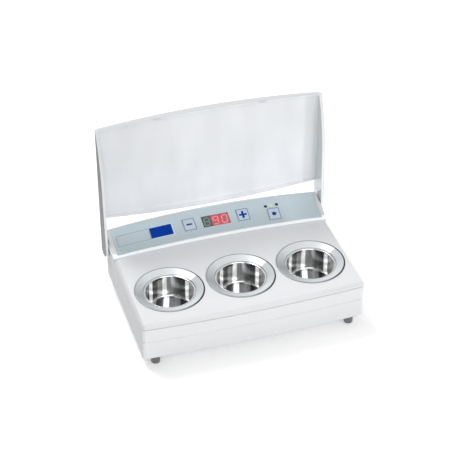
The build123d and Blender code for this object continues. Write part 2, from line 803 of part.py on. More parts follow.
with BuildPart() as lid:
    with BuildSketch(Plane.XY.offset(lid_foot)):
        add(lid_section(lid_half, skin_y, lid_corner_radius))
    extrude(amount=lid_top)
    # the side walls seen from the side: a half-round foot and a curved front
    with BuildSketch(Plane.YZ) as side_view:
        curve_start = (skin_y - lid_lip_depth, panel_high)
        curve_middle = (skin_y - lid_shoulder_depth, panel_high - lid_shoulder_drop)
        curve_end = (skin_y - lid_curve_depth, panel_high - lid_curve_drop)
        behind = skin_y + 2 * lid_crown
        above = 2 * lid_top
        with BuildLine():
            ThreePointArc((rim_y, hinge_height), (arm_y, lid_foot), (skin_y, hinge_height))
            Polyline((skin_y, hinge_height), (behind, hinge_height), (behind, above))
            Polyline((behind, above), (skin_y - lid_lip_depth, above), curve_start)
            ThreePointArc(curve_start, curve_middle, curve_end)
            Line(curve_end, (rim_y, hinge_height))
        make_face()
    extrude(amount=lid_width, both=True, mode=Mode.INTERSECT)
    with BuildSketch(Plane.XZ):
        add(lid_face(lid_half + 1, lid_foot, panel_high))
        with Locations((0, lid_foot)):
            Rectangle(2 * lid_half, 2 * lid_arm_reach)
    extrude(amount=lid_width, both=True, mode=Mode.INTERSECT)
    # open space between the arms and in front of the lips
    with BuildSketch(Plane.XZ.offset(-lip_y)):
        add(lid_face(lid_inner, lid_foot - lid_rear_bow, lid_top))
    extrude(amount=lid_width, mode=Mode.SUBTRACT)
    with BuildSketch(Plane.XZ):
        with Locations((0, panel_low)):
            Rectangle(2 * lid_inner, 2 * lid_arm_reach + 2 * arm_radius)
        add(lid_face(lid_inner, panel_low, lid_top), mode=Mode.SUBTRACT)
    extrude(amount=lid_width, both=True, mode=Mode.SUBTRACT)
    add(lid_hollow.part, mode=Mode.SUBTRACT)
    for side in (-1, 1):
        hinge_circle(boss_radius, side * boss_end, side * (lid_half - lid_wall / 2 - boss_end))
        hinge_circle(
            pin_radius + fit_gap / 2, side * boss_end, side * pin_socket_depth, Mode.SUBTRACT
        )
    # pockets for the bumpers in the front lip
    bumper_x = bumper_spacing / 2
    bumper_z = panel_high + lid_front_bow * (1 - (bumper_x / lid_half) ** 2) - lid_lip_thickness / 2
    with BuildSketch(Plane.XZ.offset(-lip_y)):
        with Locations((-bumper_x, bumper_z), (bumper_x, bumper_z)):
            Rectangle(bumper_length + fit_gap, bumper_width - 2 * fit_gap)
    extrude(amount=-bumper_socket - fit_gap, mode=Mode.SUBTRACT)
keep(lid, "lid")

with BuildPart() as lid_bumpers:
    with BuildSketch(Plane.XZ.offset(-lip_y - bumper_socket)):
        with Locations((-bumper_x, bumper_z), (bumper_x, bumper_z)):
            Rectangle(bumper_length, bumper_width - 3 * fit_gap)
    extrude(amount=bumper_socket + bumper_height)
    fillet(lid_bumpers.faces().sort_by(Axis.Y)[0:2].edges(), bumper_height / 3)
keep(lid_bumpers, "lid_bumpers")

for name, side in {"left": -1, "right": 1}.items():
    pin_start = bush_end - hinge_side_gap - stop_arm_thickness
    pin_end = boss_end + pin_socket_depth - fit_gap
    with BuildPart() as hinge_pin:
        hinge_circle(pin_radius, side * pin_start, side * (pin_end - pin_start))
        with BuildSketch(Plane.YZ.offset(side * pin_start)):
            with Locations((hinge_y, hinge_height)):
                Circle(stop_hub_radius)
            with Locations((hinge_y - stop_arm_reach / 2, hinge_height)):
                Rectangle(stop_arm_reach, stop_arm_width)
        extrude(amount=side * stop_arm_thickness)
    keep(hinge_pin, f"hinge_pin_{name}")

    with BuildPart() as hinge_bush:
        hinge_circle(bush_radius, side * bush_end, side * bush_length)
        hinge_circle(bush_flange_radius, side * half_width, side * bush_flange)
        hinge_circle(
            pin_radius + pin_clearance, side * bush_end, side * 2 * bush_length, Mode.SUBTRACT
        )
    keep(hinge_bush, f"hinge_bush_{name}")

# ------------------------------------------------------------------ pot plate
with BuildPart() as pot_plate:
    with BuildSketch(Plane.XY.offset(plate_top - plate_thickness)):
        with Locations((0, side_front + (plate_front_setback + plate_rear_setback) / 2)):
            RectangleRounded(
                plate_width, plate_rear_setback - plate_front_setback, plate_corner
            )
        with Locations([(x, pot_y) for x in pot_places.values()]):
            Circle(well_outer + plate_hole_gap, mode=Mode.SUBTRACT)
        with Locations(plate_boss_places):
            Circle(plate_screw_radius + screw_hole_gap, mode=Mode.SUBTRACT)
    extrude(amount=plate_thickness)
keep(pot_plate, "pot_plate")


def screws(name, plane, places, radius, length, head_radius, head):
    """Pan-head screws with a hexagon socket: heads below the plane, shanks along its normal."""
    with BuildPart() as group:
        with BuildSketch(plane.offset(-head)):
            with Locations(places):
                Circle(head_radius)
        extrude(amount=head)
        heads = group.faces().group_by(Axis(plane.origin, plane.z_dir))[0]
        chamfer(heads.edges(), head / 4)
        with BuildSketch(plane):
            with Locations(places):
                Circle(radius)
        extrude(amount=length)
        with BuildSketch(plane.offset(-head)):
            with Locations(places):
                RegularPolygon(head_radius / 2, 6)
        extrude(amount=head / 2, mode=Mode.SUBTRACT)
    keep(group, name)


screws(
    "plate_screws",
    Plane.XY.offset(plate_top - plate_thickness),
    plate_boss_places,
    plate_screw_radius,
    plate_screw_length,
    screw_head_radius,
    screw_head,
)
screws(
    "housing_screws",
    Plane.XY.offset(head_seat),
    foot_places,
    screw_radius,
    split_height + screw_thread_length - head_seat,
    screw_head_radius,
    screw_head,
)

# ------------------------------------------------------------------ control console
with BuildPart() as control_overlay:
    with BuildSketch(console_plane.offset(-overlay_recess)):
        add(overlay_outline())
        with Locations((0, display_along)):
            Rectangle(
                window_width - 2 * window_lap, window_height - 2 * window_lap, mode=Mode.SUBTRACT
            )
        for x, along in key_places.values():
            with Locations(Location((x, along), console_turn(x))):
                Rectangle(key_width + 2 * key_gap, key_height + 2 * key_gap, mode=Mode.SUBTRACT)
        with Locations((key_places["select"][0], led_along)):
            with GridLocations(led_pitch, 0, 3, 1):
                Circle(led_radius + led_gap, mode=Mode.SUBTRACT)
    extrude(amount=overlay_thickness)
keep(control_overlay, "control_overlay")

with BuildPart() as display_window:
    with BuildSketch(console_plane.offset(-overlay_recess - window_thickness)):
        with Locations((0, display_along)):
            Rectangle(window_width, window_height)
    extrude(amount=window_thickness)
keep(display_window, "display_window")

with BuildPart() as display_module:
    with BuildSketch(console_plane.offset(-board_face)):
        with Locations((0, display_along)):
            Rectangle(display_width, display_height)
    extrude(amount=display_thickness - fit_gap)
    # shallow wells over the lit figures
    with BuildSketch(console_plane.offset(-overlay_recess - window_thickness - fit_gap)):
        with Locations((0, display_along)):
            with GridLocations(figure_pitch, 0, 3, 1):
                Rectangle(figure_width, figure_height)
    extrude(amount=-window_gap, mode=Mode.SUBTRACT)
keep(display_module, "display_module")

with BuildPart() as control_board:
    with BuildSketch(console_plane.offset(-board_face - board_thickness)):
        with Locations((board_x, board_along)):
            Rectangle(board_width, board_length)
            with GridLocations(*board_screw_pitch, 2, 2):
                Circle(board_screw_radius + screw_hole_gap, mode=Mode.SUBTRACT)
    extrude(amount=board_thickness)
keep(control_board, "control_board")

with BuildPart() as tactile_switches:
    with BuildSketch(console_plane.offset(-board_face)):
        with Locations(list(key_places.values())):
            Rectangle(switch_size, switch_size)
    extrude(amount=switch_height)
    with BuildSketch(console_plane.offset(-board_face)):
        with Locations(list(key_places.values())):
            Circle(key_stem_radius)
    extrude(amount=switch_height + 1, mode=Mode.SUBTRACT)
    with BuildSketch(console_plane.offset(-board_face)):
        with Locations(list(key_places.values())):
            Circle(key_stem_radius)
    extrude(amount=switch_height - 2 * key_travel - key_rest_gap)
keep(tactile_switches, "tactile_switches")

with BuildPart() as indicator_leds:
    with BuildSketch(console_plane.offset(-board_face)):
        with Locations((key_places["select"][0], led_along)):
            with GridLocations(led_pitch, 0, 3, 1):
                Circle(led_radius)
    extrude(amount=board_face + led_proud)
    lamp_tips = indicator_leds.faces().group_by(Axis((0, 0, 0), console_plane.z_dir))[-1]
    fillet(lamp_tips.edges(), led_radius / 2)
    with BuildSketch(console_plane.offset(-console_wall - led_flange - fit_gap)):
        with Locations((key_places["select"][0], led_along)):
            with GridLocations(led_pitch, 0, 3, 1):
                Circle(led_flange_radius)
    extrude(amount=led_flange)
keep(indicator_leds, "indicator_leds")

key_foot = -board_face + switch_height - key_travel  # where a key's stem meets its switch
for name, (x, along) in key_places.items():
    with BuildPart() as key:
        with BuildSketch(console_plane.offset(-console_wall)):
            with Locations(Location((x, along), console_turn(x))):
                RectangleRounded(key_width, key_height, key_corner)
        extrude(amount=console_wall + key_proud)
        fillet(key.faces().group_by(Axis((0, 0, 0), console_plane.z_dir))[-1].edges(), key_proud / 2)
        with BuildSketch(
            console_plane.offset(-console_wall - key_flange_gap - key_flange_thickness)
        ):
            with Locations(Location((x, along), console_turn(x))):
                Rectangle(key_width + 2 * key_flange, key_height + 2 * key_flange)
        extrude(amount=key_flange_thickness)
        with BuildSketch(console_plane.offset(-console_wall - key_flange_gap)):
            with Locations(Location((x, along), console_turn(x))):
                RectangleRounded(key_width, key_height, key_corner)
        extrude(amount=key_flange_gap)
        with BuildSketch(console_plane.offset(key_foot)):
            with Locations((x, along)):
                Circle(key_stem_radius - 2 * key_rest_gap)
        extrude(amount=-key_foot - console_wall)
    keep(key, f"key_{name}")

screws(
    "board_screws",
    console_plane.offset(-board_face - board_thickness),
    [
        (board_x + i * board_screw_pitch[0] / 2, board_along + j * board_screw_pitch[1] / 2)
        for i in (-1, 1)
        for j in (-1, 1)
    ],
    board_screw_radius,
    board_screw_length,
    board_screw_head_radius,
    board_screw_head,
)

# ------------------------------------------------------------------ power board
power_board_top = power_board_under + board_thickness
with BuildPart() as power_board:
    with BuildSketch(Plane.XY.offset(power_board_under)):
        with Locations((power_board_x, power_board_y)):
            Rectangle(power_board_width, power_board_depth)
            with GridLocations(*power_screw_pitch, 2, 2):
                Circle(board_screw_radius + screw_hole_gap, mode=Mode.SUBTRACT)
    extrude(amount=board_thickness)
keep(power_board, "power_board")

transformer_x = power_board_left + board_post_radius * 3 + transformer_width / 2
with BuildPart() as transformer:
    with BuildSketch(Plane.XY.offset(power_board_top)):
        with Locations((transformer_x, power_board_y)):
            Rectangle(transformer_width, transformer_depth)
    extrude(amount=transformer_height)
    fillet(transformer.edges().filter_by(Axis.Z), standoff_radius)
    # laminated core standing out round the winding
    with BuildSketch(Plane.XY.offset(power_board_top + transformer_height / 4)):
        with Locations((transformer_x, power_board_y)):
            Rectangle(transformer_core_width, transformer_core_depth)
    extrude(amount=transformer_height / 2)
keep(transformer, "transformer")

relay_x = transformer_x + transformer_width / 2 + relay_pitch
with BuildPart() as relays:
    with BuildSketch(Plane.XY.offset(power_board_top)):
        with Locations((relay_x + relay_pitch, power_board_y)):
            with GridLocations(relay_pitch, 0, 3, 1):
                Rectangle(relay_width, relay_depth)
    extrude(amount=relay_height)
    chamfer(relays.faces().sort_by(Axis.Z)[-3:].edges(), relay_width / 12)
keep(relays, "relays")

with BuildPart() as fuse:
    fuse_y = power_board_y - transformer_depth / 2
    fuse_mid = power_board_top + fuse_radius
    with BuildSketch(Plane.YZ.offset(relay_x)):
        with Locations((fuse_y, fuse_mid)):
            Circle(fuse_glass_radius)
    extrude(amount=fuse_length)
    for start in (0, fuse_length - fuse_cap):
        with BuildSketch(Plane.YZ.offset(relay_x + start)):
            with Locations((fuse_y, fuse_mid)):
                Circle(fuse_radius)
        extrude(amount=fuse_cap)
keep(fuse, "fuse")

with BuildPart() as power_board_screws:
    for i in (-1, 1):
        for j in (-1, 1):
            spot = (
                power_board_x + i * power_screw_pitch[0] / 2,
                power_board_y + j * power_screw_pitch[1] / 2,
            )
            with BuildSketch(Plane.XY.offset(power_board_top)):
                with Locations(spot):
                    Circle(board_screw_head_radius)
                    RegularPolygon(board_screw_head_radius / 2, 6, mode=Mode.SUBTRACT)
            extrude(amount=board_screw_head)
            with BuildSketch(Plane.XY.offset(power_board_top + board_screw_head / 2)):
                with Locations(spot):
                    Circle(board_screw_radius)
            extrude(amount=-board_screw_length - board_screw_head / 2)
keep(power_board_screws, "power_board_screws")

# ------------------------------------------------------------------ feet
foot_names = ("front_left", "front_right", "rear_left", "rear_right")
for name, (x, y) in zip(foot_names, foot_places):
    with BuildPart() as foot:
        with BuildSketch():
            with Locations((x, y)):
                Circle(foot_tip_radius)
        with BuildSketch(Plane.XY.offset(foot_height)):
            with Locations((x, y)):
                Circle(foot_radius)
        loft()
        fillet(foot.faces().sort_by(Axis.Z)[0].edges(), foot_edge)
        with BuildSketch(Plane.XY.offset(foot_height)):
            with Locations((x, y)):
                Circle(foot_radius)
        extrude(amount=foot_seat_depth)
    keep(foot, f"foot_{name}")
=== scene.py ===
import math

import bpy
import numpy as np
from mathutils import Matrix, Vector


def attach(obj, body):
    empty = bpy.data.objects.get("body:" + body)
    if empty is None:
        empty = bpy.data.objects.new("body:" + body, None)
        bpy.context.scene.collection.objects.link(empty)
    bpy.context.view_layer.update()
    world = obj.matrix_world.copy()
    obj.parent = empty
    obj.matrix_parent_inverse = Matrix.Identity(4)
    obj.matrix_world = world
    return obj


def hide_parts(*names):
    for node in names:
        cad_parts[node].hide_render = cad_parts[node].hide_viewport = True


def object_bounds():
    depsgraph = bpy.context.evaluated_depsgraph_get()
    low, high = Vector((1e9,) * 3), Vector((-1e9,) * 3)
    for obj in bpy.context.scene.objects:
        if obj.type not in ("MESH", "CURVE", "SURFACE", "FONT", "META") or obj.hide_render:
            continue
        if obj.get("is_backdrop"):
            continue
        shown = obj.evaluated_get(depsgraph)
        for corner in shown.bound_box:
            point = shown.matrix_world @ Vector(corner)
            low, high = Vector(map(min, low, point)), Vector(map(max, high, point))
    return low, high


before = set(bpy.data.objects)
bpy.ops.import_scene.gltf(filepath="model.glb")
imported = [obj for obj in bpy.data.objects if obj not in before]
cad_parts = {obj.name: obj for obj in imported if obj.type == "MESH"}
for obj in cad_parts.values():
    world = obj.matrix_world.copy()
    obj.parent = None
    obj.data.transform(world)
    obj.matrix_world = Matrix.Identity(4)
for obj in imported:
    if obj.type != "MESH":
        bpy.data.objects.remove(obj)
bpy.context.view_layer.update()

MM = 0.001
SCENE = bpy.context.scene

# ------------------------------------------------------------------ sizes shared with the part
# All in millimetres: +X to the right, +Y to the back, +Z up from the table.
SIDE_FRONT = -87.0
HALF_WIDTH = 131.2
DECK = 58.9
LID_HALF = 135.5
LID_BOW = 5.0  # how far the lid's top edge is lower at its ends than in its middle
LID_CREST = 214.15  # a little under the middle of the top edge
LID_INNER = 132.2  # the inner faces of the lid's side walls

# pots and the rings round them
POTS = {"left": -84.6, "middle": 0.0, "right": 84.6}
POT_Y = SIDE_FRONT + 54.5
POT_INNER = 27.6
POT_OUTER = 28.8
POT_FOOT = 26.3
POT_FLOOR = 27.5
RIM_RADIUS = 29.4
RIM_UNDER = 55.2
RIM_TOP = 56.45
RING_THROAT = 30.0
RING_OUTER = 40.3

# the console: a slope with two bowed edges
SLOPE = math.atan(12.7 / 39.0)
SLOPE_ORIGIN = np.array([0.0, SIDE_FRONT + 126.5, 62.3])
SLOPE_UP = np.array([0.0, math.cos(SLOPE), math.sin(SLOPE)])
SLOPE_OUT = np.array([0.0, -math.sin(SLOPE), math.cos(SLOPE)])
CONSOLE_BOW = 6.2
KEYS = {"minus": (-32.7, 26.1), "plus": (33.8, 26.0), "select": (71.1, 19.1)}


# ------------------------------------------------------------------ shader helpers
def material(name, colour, rough=0.4, metallic=0.0, coat=0.0):
    """A Principled material, with its node tree and its shader."""
    mat = bpy.data.materials.new(name)
    mat.use_nodes = True
    tree = mat.node_tree
    shader = tree.nodes["Principled BSDF"]
    shader.inputs["Base Color"].default_value = (*colour, 1)
    shader.inputs["Roughness"].default_value = rough
    shader.inputs["Metallic"].default_value = metallic
    shader.inputs["Coat Weight"].default_value = coat
    shader.inputs["Coat Roughness"].default_value = 0.05
    return mat, tree, shader


def add_node(tree, kind, **values):
    """A node with its inputs (by socket name) and plain settings filled in."""
    node = tree.nodes.new(kind)
    for key, value in values.items():
        if key in node.inputs:
            node.inputs[key].default_value = value
        else:
            setattr(node, key, value)
    return node


def ramp(tree, fac, stops):
    """The colour that a socket picks from (place, colour) pairs."""
    node = tree.nodes.new("ShaderNodeValToRGB")
    elements = node.color_ramp.elements
    while len(elements) < len(stops):
        elements.new(0.5)
    for element, (place, colour) in zip(elements, stops):
        element.position = place
        element.color = (*colour, 1)
    tree.links.new(fac, node.inputs["Fac"])
    return node.outputs["Color"]


def greys(tree, fac, bands, tint=(0.985, 0.995, 1.0)):
    """The tinted grey that a socket picks from (place, grey) pairs."""
    stops = [(place, tuple(grey * part for part in tint)) for place, grey in bands]
    return ramp(tree, fac, stops)


def blended(tree, fac, first, second, kind="MIX"):
    """Two colours mixed by a socket or a number."""
    node = add_node(tree, "ShaderNodeMix", data_type="RGBA", blend_type=kind)
    if isinstance(fac, float):
        node.inputs["Factor"].default_value = fac
    else:
        tree.links.new(fac, node.inputs["Factor"])
    for socket, value in (("A", first), ("B", second)):
        if isinstance(value, tuple):
            node.inputs[socket].default_value = (*value, 1)
        else:
            tree.links.new(value, node.inputs[socket])
    return node.outputs["Result"]


def multiplied(tree, first, second):
    """The product of two colours."""
    return blended(tree, 1.0, first, second, "MULTIPLY")


def calculated(tree, operation, *values):
    """The result of a maths node, whose values are sockets or numbers."""
    node = add_node(tree, "ShaderNodeMath", operation=operation)
    for socket, value in zip(node.inputs, values):
        if isinstance(value, float):
            socket.default_value = value
        else:
            tree.links.new(value, socket)
    return node.outputs["Value"]


def above(tree, place, limit):
    """1 where a coordinate is over a limit in millimetres."""
    return calculated(tree, "GREATER_THAN", place, limit * MM)


def near(tree, place, middle, reach):
    """1 where a coordinate is within a reach of a middle, both in millimetres."""
    return calculated(tree, "COMPARE", place, middle * MM, reach * MM)


def between(tree, place, low, high):
    """0 to 1 as a coordinate goes from low to high, in millimetres."""
    node = add_node(tree, "ShaderNodeMapRange")
    node.inputs["From Min"].default_value = low * MM
    node.inputs["From Max"].default_value = high * MM
    tree.links.new(place, node.inputs["Value"])
    return node.outputs["Result"]


def onto(tree, fac, low, high):
    """low to high as a socket goes from 0 to 1."""
    node = add_node(tree, "ShaderNodeMapRange")
    node.inputs["To Min"].default_value = low
    node.inputs["To Max"].default_value = high
    tree.links.new(fac, node.inputs["Value"])
    return node.outputs["Result"]


def parted(tree, vector):
    """The X, Y and Z of a vector."""
    split = add_node(tree, "ShaderNodeSeparateXYZ")
    tree.links.new(vector, split.inputs["Vector"])
    return split.outputs["X"], split.outputs["Y"], split.outputs["Z"]


def own_place(tree):
    """Object coordinates."""
    return add_node(tree, "ShaderNodeTexCoord").outputs["Object"]


def from_axis(tree, place, centre_x, keep_height=1.0):
    """A place measured from a pot's upright axis, at its own height or flattened by 0."""
    shift = add_node(tree, "ShaderNodeMapping")
    shift.inputs["Location"].default_value = (-centre_x * MM, -POT_Y * MM, 0.0)
    shift.inputs["Scale"].default_value = (1.0, 1.0, keep_height)
    tree.links.new(place, shift.inputs["Vector"])
    return shift.outputs["Vector"]


def length(tree, vector):
    """The length of a vector."""
    node = add_node(tree, "ShaderNodeVectorMath", operation="LENGTH")
    tree.links.new(vector, node.inputs[0])
    return node.outputs["Value"]


def noise_at(tree, place, scale, detail, stretch=None):
    """Noise at a place, stretched along the axes that have a small factor."""
    if stretch:
        mapping = add_node(tree, "ShaderNodeMapping")
        mapping.inputs["Scale"].default_value = stretch
        tree.links.new(place, mapping.inputs["Vector"])
        place = mapping.outputs["Vector"]
    noise = add_node(tree, "ShaderNodeTexNoise", Scale=scale, Detail=detail)
    tree.links.new(place, noise.inputs["Vector"])
    return noise.outputs["Fac"]


def bumpy(tree, shader, fac, strength, distance, bevel=0.0):
    """A bump from a socket, on top of edges softened over a bevel radius in metres."""
    bump = add_node(tree, "ShaderNodeBump", Strength=strength, Distance=distance)
    tree.links.new(fac, bump.inputs["Height"])
    if bevel:
        edge = add_node(tree, "ShaderNodeBevel", Radius=bevel)
        edge.samples = 6
        tree.links.new(edge.outputs["Normal"], bump.inputs["Normal"])
    tree.links.new(bump.outputs["Normal"], shader.inputs["Normal"])


def grain(tree, shader, scale, strength, bevel=0.0):
    """Fine moulded grain; gives the place and the grain's noise."""
    place = own_place(tree)
    noise = noise_at(tree, place, scale, 3.0)
    bumpy(tree, shader, noise, strength, 0.00005, bevel)
    return place, noise


def shining(tree, shader, colour, strength):
    """Light that a finish gives off, in the colour of a socket."""
    tree.links.new(colour, shader.inputs["Emission Color"])
    shader.inputs["Emission Strength"].default_value = strength


def dress(obj, mat):
    """Give an object one material."""
    obj.data.materials.clear()
    obj.data.materials.append(mat)


# ------------------------------------------------------------------ tones
# Each list holds (place, grey) pairs, with the place from 0 to 1.
# The lid's painted reflections and painted shade from its left to its right, and from its low edge to
# its top.
LID_TONES_HALF = 135.0
LID_TONES_LOW, LID_TONES_HIGH = 90.0, 210.0
LID_PAINTED_ACROSS = [
    (0.03, 0.88), (0.2, 0.89), (0.36, 0.96), (0.55, 0.98), (0.75, 0.975), (0.9, 0.98),
    (0.925, 0.97), (0.94, 0.86), (0.985, 0.83), (0.988, 0.98),
]
LID_PAINTED_UPWARD = [(0.0, 1.0), (0.35, 0.985), (0.7, 0.94), (1.0, 0.90)]
# The faint painted light that the lid's panel gives off, across and upward.
LID_PAINTED_LIGHT_ACROSS = [
    (0.015, 0.0), (0.02, 0.3), (0.3, 0.6), (0.4, 1.0), (0.8, 0.8), (0.98, 0.5), (0.985, 0.0),
]
LID_PAINTED_LIGHT_UPWARD = [(0.0, 0.09), (0.35, 0.07), (0.75, 0.0)]
# Painted reflections: upright light and dark bands of the polished pots, from their left to their
# right.
WALL_REFLECTIONS = [
    (0.01, 0.42), (0.05, 0.30), (0.075, 1.0), (0.12, 0.95), (0.14, 0.22), (0.21, 0.34),
    (0.24, 0.72), (0.31, 0.60), (0.34, 1.0), (0.41, 1.0), (0.43, 0.66), (0.58, 0.52),
    (0.66, 0.24), (0.79, 0.20), (0.82, 1.0), (0.88, 1.0), (0.90, 0.46), (0.97, 0.70),
]
FLOOR_REFLECTIONS = [
    (0.10, 0.70), (0.19, 0.50), (0.22, 0.09), (0.34, 0.09), (0.37, 0.85), (0.46, 0.85),
    (0.48, 0.16), (0.56, 0.24), (0.60, 0.60), (0.69, 0.56), (0.73, 0.10), (0.84, 0.15),
    (0.88, 0.75),
]
# Painted glints: upright strips of studio light that the polished wall and floor give off as a painted
# highlight.
WALL_GLINTS = [
    (0.06, 0.0), (0.075, 0.9), (0.115, 0.8), (0.135, 0.0), (0.23, 0.0), (0.25, 0.16),
    (0.32, 0.1), (0.34, 0.95), (0.405, 1.0), (0.43, 0.12), (0.50, 0.05), (0.80, 0.0),
    (0.82, 0.95), (0.875, 0.85), (0.89, 0.08), (0.95, 0.14),
]
FLOOR_GLINTS = [
    (0.10, 0.3), (0.19, 0.1), (0.22, 0.0), (0.365, 0.0), (0.38, 0.75), (0.46, 0.75),
    (0.475, 0.0), (0.58, 0.0), (0.61, 0.15), (0.69, 0.1), (0.72, 0.0),
]
# Painted reflections: short dark strokes under the pots' rims.
DARK_REFLECTION_STROKES = [
    (0.18, 0.0), (0.20, 0.9), (0.33, 0.8), (0.35, 0.0), (0.63, 0.0), (0.65, 0.9), (0.80, 0.9),
    (0.82, 0.0),
]
# The funnel rings' painted reflections, with a crisp change, by their turn round the upright axis,
# from the left by way of the front.
RING_REFLECTIONS = [
    (0.0, 0.40), (0.08, 0.48), (0.16, 0.68), (0.25, 0.82), (0.36, 0.80), (0.45, 0.60),
    (0.535, 0.42), (0.557, 0.36), (0.565, 0.72), (0.70, 0.86), (0.84, 0.80), (0.93, 0.54),
    (1.0, 0.38),
]
# Painted shade on the rings' outer edge, by the same turn.
RING_EDGE_SHADE = [(0.0, 0.45), (0.25, 0.40), (0.34, 0.10), (0.42, 0.02), (0.60, 0.03), (0.68, 0.35)]
NEUTRAL = (1.0, 1.0, 1.0)
DARK = (0.0, 0.0, 0.0)
# The pots' painted reflections run square to this direction, which points to the right of the picture.
BAND_DIRECTION = np.array([0.953, -0.302, 0.0])


# ------------------------------------------------------------------ finishes
def plain(name, colour, darker, rough, metallic=0.0, coat=0.0, bump=0.05, bevel=0.0003):
    """A moulded, painted or bare metal finish: fine grain, and a slight large-scale variation
    between two colours and between two roughnesses."""
    mat, tree, shader = material(name, colour, rough[0], metallic, coat)
    place, _ = grain(tree, shader, 600.0, bump, bevel)
    patches = noise_at(tree, place, 25.0, 2.0)
    tree.links.new(ramp(tree, patches, [(0.35, darker), (0.65, colour)]), shader.inputs["Base Color"])
    tree.links.new(onto(tree, patches, *rough), shader.inputs["Roughness"])
    return mat


def satin_sides_with_painted_shade(tree, shader, tone, reach, limit, painted_shade, gloss):
    """A tone that turns rougher and less glossy on the outer side faces, which lie further from the
    middle than a limit, and greyer there with painted shade."""
    # painted shade on the outer side faces
    outside = above(tree, reach, limit)
    tone = blended(tree, outside, tone, multiplied(tree, tone, painted_shade))
    tree.links.new(tone, shader.inputs["Base Color"])
    tree.links.new(onto(tree, outside, gloss, 0.6), shader.inputs["Roughness"])
    tree.links.new(onto(tree, outside, 0.3, 0.0), shader.inputs["Coat Weight"])
    tree.links.new(onto(tree, outside, 0.5, 0.15), shader.inputs["Specular IOR Level"])


def shell_gloss():
    """Glossy white moulding, with a painted highlight on the console's narrow riser just over the
    deck: paler there, and giving off light.
    """
    white, shaded = (0.73, 0.74, 0.755), (0.715, 0.725, 0.74)
    mat, tree, shader = material("white_shell", white, 0.2, coat=0.3)
    place, noise = grain(tree, shader, 600.0, 0.03, bevel=0.0006)
    x, _, up = parted(tree, place)
    over_deck = between(tree, up, DECK, DECK + 5.0)
    # painted highlight: the riser just over the deck is paler and gives off light
    riser_highlight = greys(tree, over_deck, [(0.02, 0.0), (0.12, 1.0), (0.82, 1.0), (0.98, 0.0)], NEUTRAL)
    tone = ramp(tree, noise, [(0.3, shaded), (0.7, white)])
    tone = blended(tree, riser_highlight, tone, (0.97, 0.97, 0.99))
    reach = calculated(tree, "ABSOLUTE", x)
    satin_sides_with_painted_shade(tree, shader, tone, reach, HALF_WIDTH - 0.3, (0.93, 0.93, 0.935), 0.2)
    # the riser's painted highlight also glows
    shining(tree, shader, blended(tree, riser_highlight, DARK, (0.13, 0.17, 0.18)), 1.0)
    return mat


def lid_gloss():
    """Glossy lid moulding. Its panel carries painted soft upright reflections and painted shade:
    greyer at the left and the top, lightest low in the middle, and it gives off a faint painted light.
    The bowed top edge, at z = top - bow (x / half)^2, and the inner side walls are greyer with painted
    shade, and so are the outer side faces."""
    mat, tree, shader = material("white_lid", (0.85, 0.86, 0.885), 0.15, coat=0.25)
    place, _ = grain(tree, shader, 600.0, 0.01, bevel=0.0006)
    x, _, up = parted(tree, place)
    # painted reflections and painted shade across the panel and upward
    across = between(tree, x, -LID_TONES_HALF, LID_TONES_HALF)
    upward = between(tree, up, LID_TONES_LOW, LID_TONES_HIGH)
    tone = multiplied(tree, greys(tree, across, LID_PAINTED_ACROSS), greys(tree, upward, LID_PAINTED_UPWARD))
    # soft upright painted reflections
    reflection_streaks = noise_at(tree, place, 28.0, 1.5, stretch=(1.0, 0.2, 0.35))
    tone = multiplied(tree, tone, greys(tree, reflection_streaks, [(0.35, 0.93), (0.62, 1.0)]))
    tone = multiplied(tree, tone, (0.985, 0.975, 0.99))
    reach = calculated(tree, "ABSOLUTE", x)
    square = calculated(tree, "POWER", reach, 2.0)
    unbowed = calculated(tree, "MULTIPLY_ADD", square, LID_BOW / LID_HALF**2 / MM, up)
    # painted shade on the bowed top edge and on the inner side walls
    tone = blended(tree, above(tree, unbowed, LID_CREST), tone, (0.60, 0.61, 0.62))
    tone = blended(tree, near(tree, reach, LID_INNER, 0.2), tone, (0.74, 0.79, 0.79))
    # painted light given off by the lid's panel
    lift = greys(tree, upward, LID_PAINTED_LIGHT_UPWARD)
    lift = multiplied(tree, lift, greys(tree, across, LID_PAINTED_LIGHT_ACROSS))
    shining(tree, shader, lift, 1.0)
    satin_sides_with_painted_shade(tree, shader, tone, reach, LID_HALF - 0.3, (0.38, 0.38, 0.39), 0.15)
    return mat


def console_film():
    """Satin printed film, a little darker low on the slope, with a painted highlight near its right
    end.
    """
    mat, tree, shader = material("console_film", (0.60, 0.69, 0.725), 0.4)
    place, _ = grain(tree, shader, 600.0, 0.1)
    x, y, _ = parted(tree, place)
    climb = [(0.05, (0.50, 0.59, 0.62)), (0.55, (0.55, 0.64, 0.69)), (0.9, (0.60, 0.71, 0.76))]
    tone = ramp(tree, between(tree, y, 44.0, 74.0), climb)
    # a painted highlight near the film's right end
    highlight_patch = greys(tree, between(tree, x, 75.0, 130.0), [(0.0, 0.0), (0.3, 0.4), (0.9, 0.0)], NEUTRAL)
    tone = blended(tree, highlight_patch, tone, (0.72, 0.83, 0.89))
    tree.links.new(tone, shader.inputs["Base Color"])
    return mat


def lamp_lens():
    """Clear lamp lenses in a row over the select key: the middle one is lit."""
    mat, tree, shader = material("lamp", (0.015, 0.025, 0.02), 0.15, coat=0.5)
    place, _ = grain(tree, shader, 300.0, 0.02)
    x, _, _ = parted(tree, place)
    lit = near(tree, x, KEYS["select"][0], 3.0)
    shining(tree, shader, ramp(tree, lit, [(0.4, DARK), (0.6, (0.62, 0.85, 0.30))]), 0.9)
    return mat


def glowing(name, colour, strength):
    """A lit figure: it shines evenly, with faint darker patches."""
    mat, tree, shader = material(name, tuple(0.35 * part for part in colour), 0.4)
    _, noise = grain(tree, shader, 300.0, 0.02)
    dimmer = tuple(0.85 * part for part in colour)
    shining(tree, shader, ramp(tree, noise, [(0.3, dimmer), (0.7, colour)]), strength)
    return mat


